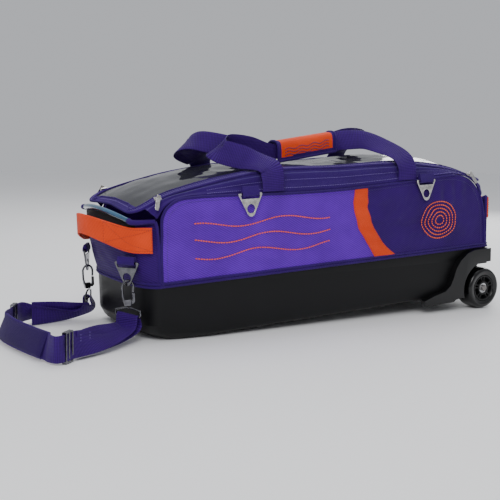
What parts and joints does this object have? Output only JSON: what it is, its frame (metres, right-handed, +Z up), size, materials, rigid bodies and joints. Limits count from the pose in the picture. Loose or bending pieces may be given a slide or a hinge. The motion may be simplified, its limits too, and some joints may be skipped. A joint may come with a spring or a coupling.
{
  "type": "rolling bowling bag",
  "caption": "Long soft-sided bowling ball roller bag on a moulded tub with two wheels, windowed zip lid, carry straps and a clip-on pull strap",
  "frame": {"origin": "on the floor, under the middle of the whole object's bounding box, pull strap laid out included", "axes": "+X along the bag from the grab-handle end with the pull strap to the wheel end, +Y to the far side (the side with the lid's hinge), +Z up; the bag leans by 2.65 degrees, wheel end raised"},
  "size_m": [1.1058, 0.3546, 0.3963],
  "materials": {
    "moulded": "moulded ABS, fine texture",
    "board": "stiffener board",
    "foam": "closed-cell foam",
    "lining": "black nylon lining over foam",
    "purple": "polyester twill weave",
    "dark_purple": "polyester twill weave, dark",
    "web": "ribbed nylon webbing",
    "orange": "polyester weave with overstitched edges",
    "teal": "glossy vinyl tube",
    "clear": "smoked clear PVC",
    "gunmetal": "black nickel plated zinc",
    "nickel": "nickel plated",
    "tyre": "glossy cast polyurethane",
    "hub": "glass-filled nylon"
  },
  "bodies": {
    "bag": {"axle_bolt_far": "nickel", "axle_bolt_near": "nickel", "base_board": "board", "base_tub": "moulded", "divider_front": "lining", "divider_rear": "lining", "end_bead_front": "teal", "end_bead_rear": "teal", "end_handle_front": "orange", "end_handle_rear": "orange", "end_wall_front": "dark_purple", "end_wall_rear": "dark_purple", "foam_base": "foam", "gusset_far": "dark_purple", "gusset_near": "dark_purple", "side_panel_far": "purple", "side_panel_near": "purple", "side_tab_front": "web", "side_tab_rear": "web", "wheel_housing_far": "moulded", "wheel_housing_near": "moulded"},
    "lid": {"lid_frame": "dark_purple", "lid_window": "clear"},
    "carry_near": {"carry_strap_near": "web", "handle_wrap": "orange"},
    "carry_far": {"carry_strap_far": "web"},
    "side_ring_front": {"side_ring_front": "gunmetal"},
    "side_ring_rear": {"side_ring_rear": "gunmetal"},
    "end_rings": {"end_ring_near": "gunmetal", "end_ring_far": "gunmetal", "end_tab_near": "web", "end_tab_far": "web"},
    "pull_strap": {"snap_hook_near": "gunmetal", "snap_hook_far": "gunmetal", "swivel_eye_near": "gunmetal", "swivel_eye_far": "gunmetal", "strap_web_near": "web", "strap_web_far": "web", "strap_pad": "web", "tri_glide_near": "gunmetal", "tri_glide_far": "gunmetal"},
    "gate_near": {"gate_near": "gunmetal"},
    "gate_far": {"gate_far": "gunmetal"},
    "wheel_near": {"tyre_near": "tyre", "hub_near": "hub", "bearing_outer_near": "nickel", "bearing_inner_near": "nickel"},
    "wheel_far": {"tyre_far": "tyre", "hub_far": "hub", "bearing_outer_far": "nickel", "bearing_inner_far": "nickel"},
    "slider_front_near": {"slider_front_near": "nickel"},
    "pull_front_near": {"pull_front_near": "nickel"},
    "slider_front_far": {"slider_front_far": "nickel"},
    "pull_front_far": {"pull_front_far": "nickel"},
    "slider_rear_near": {"slider_rear_near": "nickel"},
    "pull_rear_near": {"pull_rear_near": "nickel"},
    "slider_rear_far": {"slider_rear_far": "nickel"},
    "pull_rear_far": {"pull_rear_far": "nickel"}
  },
  "joints": [
    {"name": "lid_hinge", "type": "hinge", "parent": "bag", "child": "lid", "pos_m": [0.09146, 0.1486, 0.3041], "axis": [-0.9989, 0, -0.0462], "range_deg": [0, 95], "deforming": ["carry_strap_near", "carry_strap_far", "handle_wrap"]},
    {"name": "carry_near_drop", "type": "hinge", "parent": "bag", "child": "carry_near", "pos_m": [0.09261, -0.1119, 0.27913], "axis": [0.9989, 0, 0.0462], "range_deg": [0, 142.5]},
    {"name": "carry_far_drop", "type": "hinge", "parent": "bag", "child": "carry_far", "pos_m": [0.09261, 0.1611, 0.27913], "axis": [-0.9989, 0, -0.0462], "range_deg": [0, 142.5]},
    {"name": "side_ring_front_swing", "type": "hinge", "parent": "bag", "child": "side_ring_front", "pos_m": [-0.12145, -0.1159, 0.26473], "axis": [-0.9989, 0, -0.0462], "range_deg": [0, 90]},
    {"name": "side_ring_rear_swing", "type": "hinge", "parent": "bag", "child": "side_ring_rear", "pos_m": [0.30804, -0.1159, 0.28558], "axis": [-0.9989, 0, -0.0462], "range_deg": [0, 90]},
    {"name": "end_rings_swing", "type": "hinge", "parent": "bag", "child": "end_rings", "pos_m": [-0.34312, 0.0246, 0.15489], "axis": [0, 1, 0], "range_deg": [0, 20]},
    {"name": "strap_lift", "type": "hinge", "parent": "end_rings", "child": "pull_strap", "pos_m": [-0.34682, 0.0246, 0.10486], "axis": [0, 1, 0], "range_deg": [0, 50]},
    {"name": "gate_near_open", "type": "hinge", "parent": "pull_strap", "child": "gate_near", "pos_m": [-0.33683, -0.07429, 0.07179], "axis": [-0.1044, -0.9945, -0.0048], "range_deg": [0, 18], "stiffness_Nm_per_rad": 0.02},
    {"name": "gate_far_open", "type": "hinge", "parent": "pull_strap", "child": "gate_far", "pos_m": [-0.33683, 0.12349, 0.07179], "axis": [0.1044, -0.9945, 0.0048], "range_deg": [0, 18], "stiffness_Nm_per_rad": 0.02},
    {"name": "wheel_near_spin", "type": "hinge", "parent": "bag", "child": "wheel_near", "pos_m": [0.4858, -0.1029, 0.04572], "axis": [0, 1, 0], "continuous": true},
    {"name": "wheel_far_spin", "type": "hinge", "parent": "bag", "child": "wheel_far", "pos_m": [0.4858, 0.1521, 0.04572], "axis": [0, 1, 0], "continuous": true},
    {"name": "slider_front_near_slide", "type": "slide", "parent": "bag", "child": "slider_front_near", "axis": [0.9665, 0, 0.2565], "range_m": [0, 0.08]},
    {"name": "pull_front_near_swing", "type": "hinge", "parent": "slider_front_near", "child": "pull_front_near", "pos_m": [-0.30298, -0.10653, 0.26219], "axis": [-0.1142, 0.9374, -0.3289], "range_deg": [-25, 25]},
    {"name": "slider_front_far_slide", "type": "slide", "parent": "bag", "child": "slider_front_far", "axis": [0.9665, 0, 0.2565], "range_m": [0, 0.08]},
    {"name": "pull_front_far_swing", "type": "hinge", "parent": "slider_front_far", "child": "pull_front_far", "pos_m": [-0.30298, 0.15573, 0.26219], "axis": [-0.1142, -0.9374, -0.3289], "range_deg": [-25, 25]},
    {"name": "slider_rear_near_slide", "type": "slide", "parent": "bag", "child": "slider_rear_near", "axis": [-0.9697, 0, 0.2444], "range_m": [0, 0.04]},
    {"name": "pull_rear_near_swing", "type": "hinge", "parent": "slider_rear_near", "child": "pull_rear_near", "pos_m": [0.4453, -0.10657, 0.30008], "axis": [0.1441, 0.9374, -0.3169], "range_deg": [-25, 25]},
    {"name": "slider_rear_far_slide", "type": "slide", "parent": "bag", "child": "slider_rear_far", "axis": [-0.9697, 0, 0.2444], "range_m": [0, 0.04]},
    {"name": "pull_rear_far_swing", "type": "hinge", "parent": "slider_rear_far", "child": "pull_rear_far", "pos_m": [0.4453, 0.15577, 0.30008], "axis": [0.1441, -0.9374, -0.3169], "range_deg": [-25, 25]}
  ],
  "couplings": [
    {"joint": "carry_near_drop", "follows": "lid_hinge", "ratio": 1.5},
    {"joint": "carry_far_drop", "follows": "lid_hinge", "ratio": 1.5}
  ]
}
